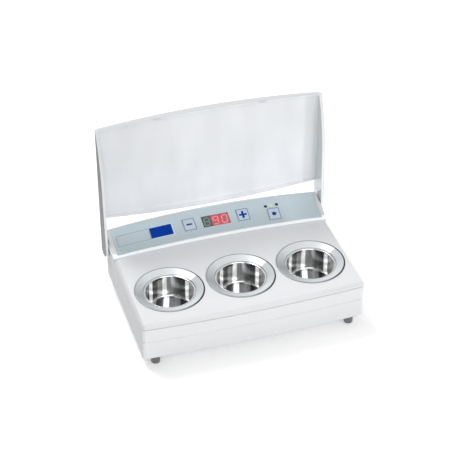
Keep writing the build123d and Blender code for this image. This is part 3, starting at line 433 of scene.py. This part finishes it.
def pot_steel(name, centre_x):
    """Polished stainless with painted reflections: upright bands, a bright painted highlight round the
    floor, dark painted strokes under a pale rim, faint upright streaks, and painted glints that give
    off light inside the pot."""
    mat, tree, shader = material(name, (0.72, 0.72, 0.73), 0.13, 0.75)
    place = own_place(tree)
    _, _, up = parted(tree, place)
    across = add_node(tree, "ShaderNodeVectorMath", operation="DOT_PRODUCT")
    across.inputs[1].default_value = BAND_DIRECTION / (2 * POT_INNER * MM)
    tree.links.new(from_axis(tree, place, centre_x), across.inputs[0])
    band = calculated(tree, "ADD", across.outputs["Value"], 0.5)
    on_wall = above(tree, up, POT_FLOOR + 0.7)
    on_rim = above(tree, up, RIM_UNDER - 0.1)

    # painted reflections on the wall and the floor
    warm = greys(tree, band, WALL_REFLECTIONS, (1.0, 0.99, 0.98))
    cool = greys(tree, band, FLOOR_REFLECTIONS, (0.94, 0.97, 1.0))
    tone = blended(tree, on_wall, cool, warm)
    # a painted highlight round the floor
    round_floor = between(tree, up, POT_FLOOR + 0.1, POT_FLOOR + 4.1)
    line = greys(tree, round_floor, [(0.0, 0.0), (0.3, 0.55), (0.8, 0.0)], NEUTRAL)
    tone = blended(tree, line, tone, (0.9, 0.88, 0.85))
    noise = noise_at(tree, place, 700.0, 3.0, stretch=(1.0, 1.0, 0.02))
    tone = multiplied(tree, tone, greys(tree, noise, [(0.3, 0.86), (0.7, 1.0)]))
    # painted dark reflections under the rim
    painted_stroke = blended(tree, above(tree, up, RIM_UNDER - 2.4), DARK, greys(tree, band, DARK_REFLECTION_STROKES))
    tone = blended(tree, painted_stroke, tone, (0.05, 0.05, 0.05))
    tone = blended(tree, on_rim, tone, (0.74, 0.77, 0.78))
    tree.links.new(tone, shader.inputs["Base Color"])

    # painted glints, given off as light
    warm_glint = greys(tree, band, WALL_GLINTS, (1.0, 0.985, 0.96))
    cool_glint = greys(tree, band, FLOOR_GLINTS, (0.94, 0.97, 1.0))
    glint = blended(tree, on_wall, cool_glint, warm_glint)
    outside = above(tree, length(tree, from_axis(tree, place, centre_x, 0.0)), POT_INNER + 0.5)
    for hidden in (painted_stroke, on_rim, outside):
        glint = blended(tree, hidden, glint, DARK)
    shining(tree, shader, glint, 0.42)
    bumpy(tree, shader, noise, 0.05, 0.00002)
    return mat


def ring_polish(name, centre_x):
    """Polished funnel: painted reflections that turn with the ring, with a crisp change at its upper
    right, painted shade on its outer edge, and fine turning marks."""
    mat, tree, shader = material(name, (0.7, 0.7, 0.7), 0.36, 0.3)
    spot = from_axis(tree, own_place(tree), centre_x, 0.0)
    turn = add_node(tree, "ShaderNodeTexGradient", gradient_type="RADIAL")
    tree.links.new(spot, turn.inputs["Vector"])
    reach = length(tree, spot)
    # painted reflections on the funnel
    funnel = greys(tree, turn.outputs["Fac"], RING_REFLECTIONS, (0.955, 0.985, 1.0))
    # painted shade on the outer edge
    edge = greys(tree, turn.outputs["Fac"], RING_EDGE_SHADE)
    tone = blended(tree, above(tree, reach, RING_OUTER - 1.8), funnel, edge)
    marks = add_node(tree, "ShaderNodeTexNoise", noise_dimensions="1D", Scale=2500.0, Detail=2.0)
    tree.links.new(reach, marks.inputs["W"])
    tone = multiplied(tree, tone, greys(tree, marks.outputs["Fac"], [(0.3, 0.93), (0.7, 1.0)]))
    tree.links.new(tone, shader.inputs["Base Color"])
    bumpy(tree, shader, marks.outputs["Fac"], 0.05, 0.00002)
    return mat


WHITE = shell_gloss()
LID_WHITE = lid_gloss()
FILM = console_film()
LAMP = lamp_lens()
POT = {place: pot_steel(f"pot_steel_{place}", x) for place, x in POTS.items()}
RINGS = {place: ring_polish(f"ring_polish_{place}", x) for place, x in POTS.items()}
BLACK = plain("black_plastic", (0.03, 0.03, 0.033), (0.02, 0.02, 0.022), (0.4, 0.5), bump=0.1)
RUBBER = plain("rubber", (0.14, 0.14, 0.145), (0.10, 0.10, 0.105), (0.3, 0.4), coat=0.4, bump=0.1)
BUMPER = plain("bumper_rubber", (0.66, 0.69, 0.71), (0.62, 0.65, 0.67), (0.55, 0.65), bump=0.2)
ALLOY = plain("well_alloy", (0.62, 0.62, 0.63), (0.56, 0.56, 0.57), (0.25, 0.35), metallic=1.0)
ZINC = plain("zinc", (0.62, 0.62, 0.6), (0.5, 0.5, 0.5), (0.25, 0.4), metallic=1.0)
STEEL = plain("sheet_steel", (0.5, 0.5, 0.5), (0.42, 0.42, 0.42), (0.3, 0.45), metallic=1.0)
BOARD = plain("board_lacquer", (0.02, 0.17, 0.07), (0.015, 0.13, 0.05), (0.25, 0.35))
COPPER = plain("winding", (0.60, 0.28, 0.12), (0.5, 0.2, 0.08), (0.3, 0.4), metallic=1.0)
CERAMIC = plain("insulation", (0.72, 0.68, 0.6), (0.66, 0.62, 0.54), (0.7, 0.8), bump=0.3)
KEY = plain("key_film", (0.60, 0.70, 0.80), (0.58, 0.68, 0.78), (0.34, 0.42), bump=0.06)
GLASS = plain("fuse_glass", (0.75, 0.8, 0.8), (0.7, 0.76, 0.76), (0.05, 0.08), bump=0.0)
WINDOW = plain("window_tint", (0.10, 0.135, 0.13), (0.09, 0.12, 0.115), (0.2, 0.3), coat=0.1, bump=0.0)

FINISH = {
    "base_pan": WHITE,
    "top_shell": WHITE,
    "lid": LID_WHITE,
    "lid_bumpers": BUMPER,
    "rear_plate": BLACK,
    "mains_inlet": BLACK,
    "inlet_pins": ZINC,
    "pot_plate": STEEL,
    "control_overlay": FILM,
    "display_window": WINDOW,
    "display_module": BLACK,
    "control_board": BOARD,
    "power_board": BOARD,
    "tactile_switches": BLACK,
    "indicator_leds": LAMP,
    "transformer": COPPER,
    "relays": BLACK,
    "fuse": GLASS,
}
FAMILIES = {
    "foot_": RUBBER,
    "screws": ZINC,
    "hinge_bush": WHITE,
    "hinge_pin": STEEL,
    "funnel_ring": RINGS["middle"],
    "heating_well": ALLOY,
    "band_heater": STEEL,
    "well_support": CERAMIC,
    "temperature_sensor": BLACK,
    "wax_pot": POT["middle"],
    "key_": KEY,
}
for node_name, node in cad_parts.items():
    family = next((mat for word, mat in FAMILIES.items() if word in node_name), None)
    dress(node, FINISH.get(node_name, family))


# ------------------------------------------------------------------ surfaces from formulas
POLE = 0.02  # radius of the pinhole left where a surface meets its axis


def grid_piece(name, points, mat, wrap_u=False, wrap_v=False, flip=False):
    """A mesh over an (n, m, 3) grid of points in millimetres; each cell is one face."""
    n, m = points.shape[:2]
    index = np.arange(n * m).reshape(n, m)
    rows = np.vstack([index, index[:1]]) if wrap_u else index
    cells = np.hstack([rows, rows[:, :1]]) if wrap_v else rows
    quads = np.stack([cells[:-1, :-1], cells[1:, :-1], cells[1:, 1:], cells[:-1, 1:]], -1)
    quads = quads.reshape(-1, 4)
    if flip:
        quads = quads[:, ::-1]
    mesh = bpy.data.meshes.new(name)
    mesh.vertices.add(n * m)
    mesh.vertices.foreach_set("co", (points.reshape(-1) * MM).astype(np.float32))
    mesh.loops.add(quads.size)
    mesh.loops.foreach_set("vertex_index", quads.reshape(-1).astype(np.int32))
    mesh.polygons.add(len(quads))
    mesh.polygons.foreach_set("loop_start", np.arange(0, quads.size, 4, dtype=np.int32))
    mesh.update(calc_edges=True)
    mesh.validate()
    mesh.polygons.foreach_set("use_smooth", np.ones(len(mesh.polygons), bool))
    mesh.set_sharp_from_angle(angle=math.radians(35.0))
    obj = bpy.data.objects.new(name, mesh)
    SCENE.collection.objects.link(obj)
    dress(obj, mat)
    return obj


def rounded(corners, radii, steps=8):
    """A closed outline whose corners are eased: at each corner C, between the points A and B
    that lie a radius away on its sides, the curve is (1-t)^2 A + 2t(1-t) C + t^2 B."""
    corners = np.asarray(corners, float)
    before, after = np.roll(corners, 1, 0), np.roll(corners, -1, 0)
    radii = np.asarray(radii, float)[:, None]
    to_before = (before - corners) / np.linalg.norm(before - corners, axis=1, keepdims=True)
    to_after = (after - corners) / np.linalg.norm(after - corners, axis=1, keepdims=True)
    start = (corners + to_before * radii)[:, None]
    end = (corners + to_after * radii)[:, None]
    t = np.linspace(0, 1, steps)[None, :, None]
    curve = (1 - t) ** 2 * start + 2 * t * (1 - t) * corners[:, None] + t**2 * end
    return curve.reshape(-1, 2)


def turned(name, profile, centre_x, mat, turns=144):
    """A closed profile of (radius, height) swung round an upright axis through a pot's middle:
    (x, y, z) = (centre x + r cos a, pot y + r sin a, height)."""
    a = np.linspace(0, 2 * np.pi, turns, endpoint=False)[:, None]
    r = profile[None, :, 0]
    z = np.broadcast_to(profile[None, :, 1], (turns, len(profile)))
    points = np.stack([centre_x + r * np.cos(a), POT_Y + r * np.sin(a), z], -1)
    return grid_piece(name, points, mat, wrap_u=True, wrap_v=True)


def on_slope(x, up, lift):
    """Points on the console: origin + x X + up (along the slope) + lift (square to it)."""
    x, up, lift = np.broadcast_arrays(x, up, lift)
    along = x[..., None] * np.array([1.0, 0.0, 0.0])
    return SLOPE_ORIGIN + along + up[..., None] * SLOPE_UP + lift[..., None] * SLOPE_OUT


def console_bow(x):
    """How far the console's edges stand up the slope at x: bow (1 - (x / half width)^2)."""
    return CONSOLE_BOW * (1 - (x / HALF_WIDTH) ** 2)


def turned_about(x, up, centre, angle):
    """Points turned by an angle about a centre on the slope: x' = x cos - up sin and
    up' = x sin + up cos, both measured from the centre."""
    dx, dy = x - centre[0], up - centre[1]
    c, s = math.cos(angle), math.sin(angle)
    return centre[0] + c * dx - s * dy, centre[1] + s * dx + c * dy


def bar_print(name, centre, size, lift, mat, angle, taper=0.0):
    """A printed bar, length by width, as a flat grid turned by an angle; its half-width shrinks
    evenly to almost nothing over a taper at each end."""
    s = np.linspace(-0.5, 0.5, 25)[:, None] * size[0]
    t = np.linspace(-0.5, 0.5, 5)[None, :] * size[1]
    if taper:
        t = t * np.clip((size[0] / 2 - np.abs(s)) / taper, 0.02, 1)
    x, up = turned_about(s + centre[0] + 0 * t, t + centre[1] + 0 * s, centre, angle)
    return grid_piece(name, on_slope(x, up, lift), mat)


def outline_print(name, centre, size, line, corner, lift, mat, angle):
    """A printed line round a rounded rectangle: a strip between two such outlines."""
    w, h = size[0] / 2, size[1] / 2
    corners = np.array([(-w, -h), (w, -h), (w, h), (-w, h)])
    inset = np.array([(w - line) / w, (h - line) / h])
    outer = rounded(corners, [corner] * 4)
    inner = rounded(corners * inset, [corner * 0.6] * 4)
    strip = np.stack([inner, outer], 1) + np.array(centre)
    x, up = turned_about(strip[..., 0], strip[..., 1], centre, angle)
    return grid_piece(name, on_slope(x, up, lift), mat, wrap_u=True, flip=True)


def bowed_print(name, x0, x1, low, high, lift, mat):
    """A printed field between two curves that follow the console's bow."""
    x = np.linspace(x0, x1, 40)[:, None]
    v = np.linspace(0, 1, 6)[None, :]
    up = low + (high - low) * v + console_bow(x)
    return grid_piece(name, on_slope(x + 0 * v, up, lift), mat)


def dot_print(name, centre, radius, lift, mat):
    """A printed dot: (x, up) = centre + r (cos a, sin a)."""
    a = np.linspace(0, 2 * np.pi, 32, endpoint=False)[:, None]
    r = np.array([[POLE, 0.8, 1.6, radius]])
    points = on_slope(centre[0] + r * np.cos(a), centre[1] + r * np.sin(a), lift)
    return grid_piece(name, points, mat, wrap_u=True, flip=True)


# ------------------------------------------------------------------ rings and pots
RING_PROFILE = rounded(
    [
        (RING_THROAT, DECK - 3.45),
        (RING_THROAT, DECK - 2.15),
        (RING_OUTER - 1.65, DECK + 0.9),
        (RING_OUTER - 0.3, DECK + 0.9),
        (RING_OUTER, DECK + 0.03),
        (RING_OUTER - 2.8, DECK + 0.03),
    ],
    [0.3, 0.45, 0.7, 0.5, 0.1, 0.4],
)
POT_PROFILE = rounded(
    [
        (POLE, POT_FOOT),
        (POT_OUTER, POT_FOOT),
        (POT_OUTER, RIM_UNDER),
        (RIM_RADIUS, RIM_UNDER),
        (RIM_RADIUS, RIM_TOP),
        (POT_INNER + 0.5, RIM_TOP - 0.35),
        (POT_INNER, RIM_TOP - 1.15),
        (POT_INNER, POT_FLOOR),
        (POLE, POT_FLOOR),
    ],
    [0.001, 5.2, 0.2, 0.3, 0.3, 0.3, 0.3, 4.5, 0.001],
    steps=10,
)
for place, x in POTS.items():
    ring = turned(f"ring_{place}", RING_PROFILE, x, RINGS[place])
    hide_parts(f"funnel_ring_{place}")
    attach(ring, "housing")
    pot = turned(f"pot_{place}", POT_PROFILE, x, POT[place])
    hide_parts(f"wax_pot_{place}")
    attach(pot, f"pot_{place}")

# ------------------------------------------------------------------ prints on the console
NAVY = plain("ink_navy", (0.006, 0.035, 0.22), (0.005, 0.03, 0.18), (0.4, 0.5), bump=0.02)
INK = plain("ink_outline", (0.13, 0.20, 0.36), (0.11, 0.17, 0.32), (0.4, 0.5), bump=0.02)
GREY_INK = plain("ink_grey", (0.22, 0.30, 0.31), (0.2, 0.28, 0.29), (0.4, 0.5), bump=0.02)
PALE = plain("ink_pale", (0.66, 0.79, 0.95), (0.64, 0.77, 0.93), (0.4, 0.5), bump=0.02)
UNLIT = plain("figure_unlit", (0.23, 0.29, 0.28), (0.2, 0.26, 0.25), (0.3, 0.4), bump=0.02)
RED = glowing("figure_lit", (0.90, 0.24, 0.28), 0.85)
GLOW = glowing("glow_behind", (0.50, 0.09, 0.105), 0.8)
# a deep blue that hardly mirrors the room
BLUE = plain("ink_blue", (0.0, 0.05, 0.42), (0.0, 0.043, 0.36), (0.5, 0.6), bump=0.02)
BLUE.node_tree.nodes["Principled BSDF"].inputs["IOR"].default_value = 1.15

# heights over the slope: on the film, on a key, on and in the window, and between two inks
FILM_TOP = -0.06
KEY_TOP = 0.34
WINDOW_TOP = -0.55
GLOW_TOP = -0.585
INK_STEP = 0.03
LABEL_LEFT, LABEL_RIGHT = -121.0, -81.0
LABEL_LOW, LABEL_HIGH = 12.0, 27.2
LINE = 0.45
over_film = FILM_TOP + INK_STEP
line_start = LABEL_LEFT - 0.5
line_left = LABEL_LEFT - LINE
line_top = LABEL_HIGH - 0.4  # the upper line's lower edge
prints = [
    bowed_print("label_field", LABEL_LEFT, LABEL_RIGHT, LABEL_LOW, LABEL_HIGH, FILM_TOP, FILM),
    bowed_print(
        "label_line_low", line_start, LABEL_RIGHT, LABEL_LOW, LABEL_LOW + LINE, over_film, GREY_INK
    ),
    bowed_print(
        "label_line_high", line_start, LABEL_RIGHT, line_top, line_top + LINE, over_film, GREY_INK
    ),
    bowed_print(
        "label_line_end", line_left - LINE, line_left, LABEL_LOW, line_top + LINE, over_film, GREY_INK
    ),
]
# a blue field with a dark and a pale border, each standing out further across and up the slope
FIELD_LEFT, FIELD_RIGHT = -80.0, -54.8
FIELD_LOW, FIELD_HIGH = 12.9, 26.4
BORDERS = (
    ("field_edge", 2.3, 2.0, PALE),
    ("field_dark", 0.9, 0.8, NAVY),
    ("field_blue", 0.0, 0.0, BLUE),
)
for layer, (name, out_x, out_up, ink) in enumerate(BORDERS):
    left, right = FIELD_LEFT - out_x, FIELD_RIGHT + out_x
    low, high = FIELD_LOW - out_up, FIELD_HIGH + out_up
    prints.append(bowed_print(name, left, right, low, high, FILM_TOP + layer * INK_STEP, ink))

KEY_OUTLINE = (14.4, 16.6)
KEY_LINE = 0.75
KEY_CORNER = 0.9
DOT_RADIUS = 2.7
SIGNS = {
    "minus": [("minus_bar", (7.0, 2.3), 0.0, 0.0, NAVY)],
    "plus": [
        ("plus_bar", (9.4, 2.7), 0.0, 0.0, BLUE),
        ("plus_upright", (10.4, 2.7), 0.02, math.pi / 2, BLUE),
    ],
    "select": [],
}
for name, centre in KEYS.items():
    # a key lies square to the console's bowed edge: its turn is the slope of console_bow
    angle = -math.atan(2 * CONSOLE_BOW * centre[0] / HALF_WIDTH**2)
    frame_line = outline_print(
        f"{name}_outline", centre, KEY_OUTLINE, KEY_LINE, KEY_CORNER, KEY_TOP, INK, angle
    )
    parts = [frame_line]
    for sign, size, step, turn, ink in SIGNS[name]:
        parts.append(bar_print(sign, centre, size, KEY_TOP + step, ink, angle + turn))
    if name == "select":
        parts.append(dot_print("select_dot", centre, DOT_RADIUS, KEY_TOP, NAVY))
    for piece in parts:
        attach(piece, f"key_{name}")

# Three seven-bar figures. Each bar has its side (-1 left, 1 right), its level from the middle
# (-1 bottom, 1 top) and whether it stands upright.
SEGMENTS = {
    "top": (0, 1, False),
    "middle": (0, 0, False),
    "bottom": (0, -1, False),
    "upper_left": (-1, 0.5, True),
    "upper_right": (1, 0.5, True),
    "lower_left": (-1, -0.5, True),
    "lower_right": (1, -0.5, True),
}
FIGURES = {
    "first": (-11.0, ()),
    "second": (0.0, ("top", "middle", "bottom", "upper_left", "upper_right", "lower_right")),
    "third": (11.0, tuple(name for name in SEGMENTS if name != "middle")),
}
FIGURE_MIDDLE = 25.9
FIGURE_SIDE = 3.1
FIGURE_LEVEL = 5.3
FIGURE_LEAN = 0.10
LYING_BAR, STANDING_BAR = (5.8, 1.45), (5.0, 1.45)
BAR_TAPER = 0.8
# a flat field in the window, behind the second and third figures
GLOW_LEFT, GLOW_RIGHT = -5.2, 16.2
GLOW_LOW, GLOW_HIGH = 18.0, 33.6
glow_x = np.linspace(GLOW_LEFT, GLOW_RIGHT, 30)[:, None]
glow_up = np.linspace(GLOW_LOW, GLOW_HIGH, 12)[None, :]
prints.append(grid_piece("glow", on_slope(glow_x, glow_up, GLOW_TOP), GLOW))
for figure, (middle_x, lit) in FIGURES.items():
    for segment, (side, level, upright) in SEGMENTS.items():
        rise = level * FIGURE_LEVEL
        centre = (middle_x + side * FIGURE_SIDE + rise * FIGURE_LEAN, FIGURE_MIDDLE + rise)
        mat = RED if segment in lit else UNLIT
        size = STANDING_BAR if upright else LYING_BAR
        angle = math.pi / 2 - FIGURE_LEAN if upright else 0.0
        bar = bar_print(f"{figure}_{segment}", centre, size, WINDOW_TOP, mat, angle, BAR_TAPER)
        prints.append(bar)
for piece in prints:
    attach(piece, "housing")


# ------------------------------------------------------------------ stage, light and camera
def facing(obj, place, towards):
    """Put a light or the camera at a place in metres, looking along a direction."""
    obj.location = place
    obj.rotation_mode = "QUATERNION"
    obj.rotation_quaternion = Vector(towards).to_track_quat("-Z", "Y")
    SCENE.collection.objects.link(obj)


def area_light(name, place, aim, size, power):
    """A soft rectangular light that looks at a point."""
    data = bpy.data.lights.new(name, "AREA")
    data.shape = "RECTANGLE"
    data.size, data.size_y = size
    data.energy = power
    facing(bpy.data.objects.new(name, data), place, Vector(aim) - Vector(place))


def stage_sheet(name, corners, mat):
    """A flat sheet of the stage, from its four corners in metres."""
    mesh = bpy.data.meshes.new(name)
    mesh.from_pydata(corners, [], [(0, 1, 2, 3)])
    sheet = bpy.data.objects.new(name, mesh)
    SCENE.collection.objects.link(sheet)
    dress(sheet, mat)
    sheet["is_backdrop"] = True
    return sheet


def pale_floor():
    """A matt white floor that shines a little, as a lit table does."""
    mat, tree, shader = material("floor", (0.93, 0.93, 0.93), 0.9)
    shader.inputs["Emission Color"].default_value = (1, 1, 1, 1)
    shader.inputs["Emission Strength"].default_value = 0.2
    grain(tree, shader, 40.0, 0.02)
    return mat


stage_sheet("floor", [(-6, -6, 0), (6, -6, 0), (6, 6, 0), (-6, 6, 0)], pale_floor())
# a grey flat standing to the left, unseen, which keeps the left-hand faces from burning out
FLAT_GREY = plain("flat_grey", (0.12, 0.12, 0.12), (0.11, 0.11, 0.11), (0.8, 0.9), bevel=0.0)
flat_corners = [(-0.8, -1.2, 0), (-0.8, 1.2, 0), (-0.8, 1.2, 1.2), (-0.8, -1.2, 1.2)]
flat = stage_sheet("flat", flat_corners, FLAT_GREY)
flat.visible_camera = False

world = bpy.data.worlds.new("studio")
SCENE.world = world
world.use_nodes = True
world.node_tree.nodes["Background"].inputs["Color"].default_value = (1, 1, 1, 1)
world.node_tree.nodes["Background"].inputs["Strength"].default_value = 0.71
area_light("key", (-0.55, 1.1, 1.9), (0, 0, 0.05), (0.9, 0.9), 26.0)
area_light("front", (-0.1, -1.9, 1.4), (0, 0, 0.1), (2.0, 1.3), 15.5)

# The camera stands to the front left and above, and looks past the object's upper left.
YAW = math.radians(17.59)
ELEVATION = math.radians(36.52)
DISTANCE = 1617.38
TARGET = np.array([-31.44, SIDE_FRONT, 170.37])
PICTURE_WIDTH = 458  # pixels
FOCAL_LENGTH = 1516.37  # pixels
SENSOR_WIDTH = 36.0
away = np.array([-math.sin(YAW), -math.cos(YAW), 0.0])
back = away * math.cos(ELEVATION) + np.array([0.0, 0.0, math.sin(ELEVATION)])
camera_data = bpy.data.cameras.new("camera")
camera_data.sensor_width = SENSOR_WIDTH
camera_data.lens = FOCAL_LENGTH / PICTURE_WIDTH * SENSOR_WIDTH
camera = bpy.data.objects.new("camera", camera_data)
facing(camera, Vector((TARGET + back * DISTANCE) * MM), -back)
SCENE.camera = camera
SCENE.view_settings.view_transform = "Standard"

low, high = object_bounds()
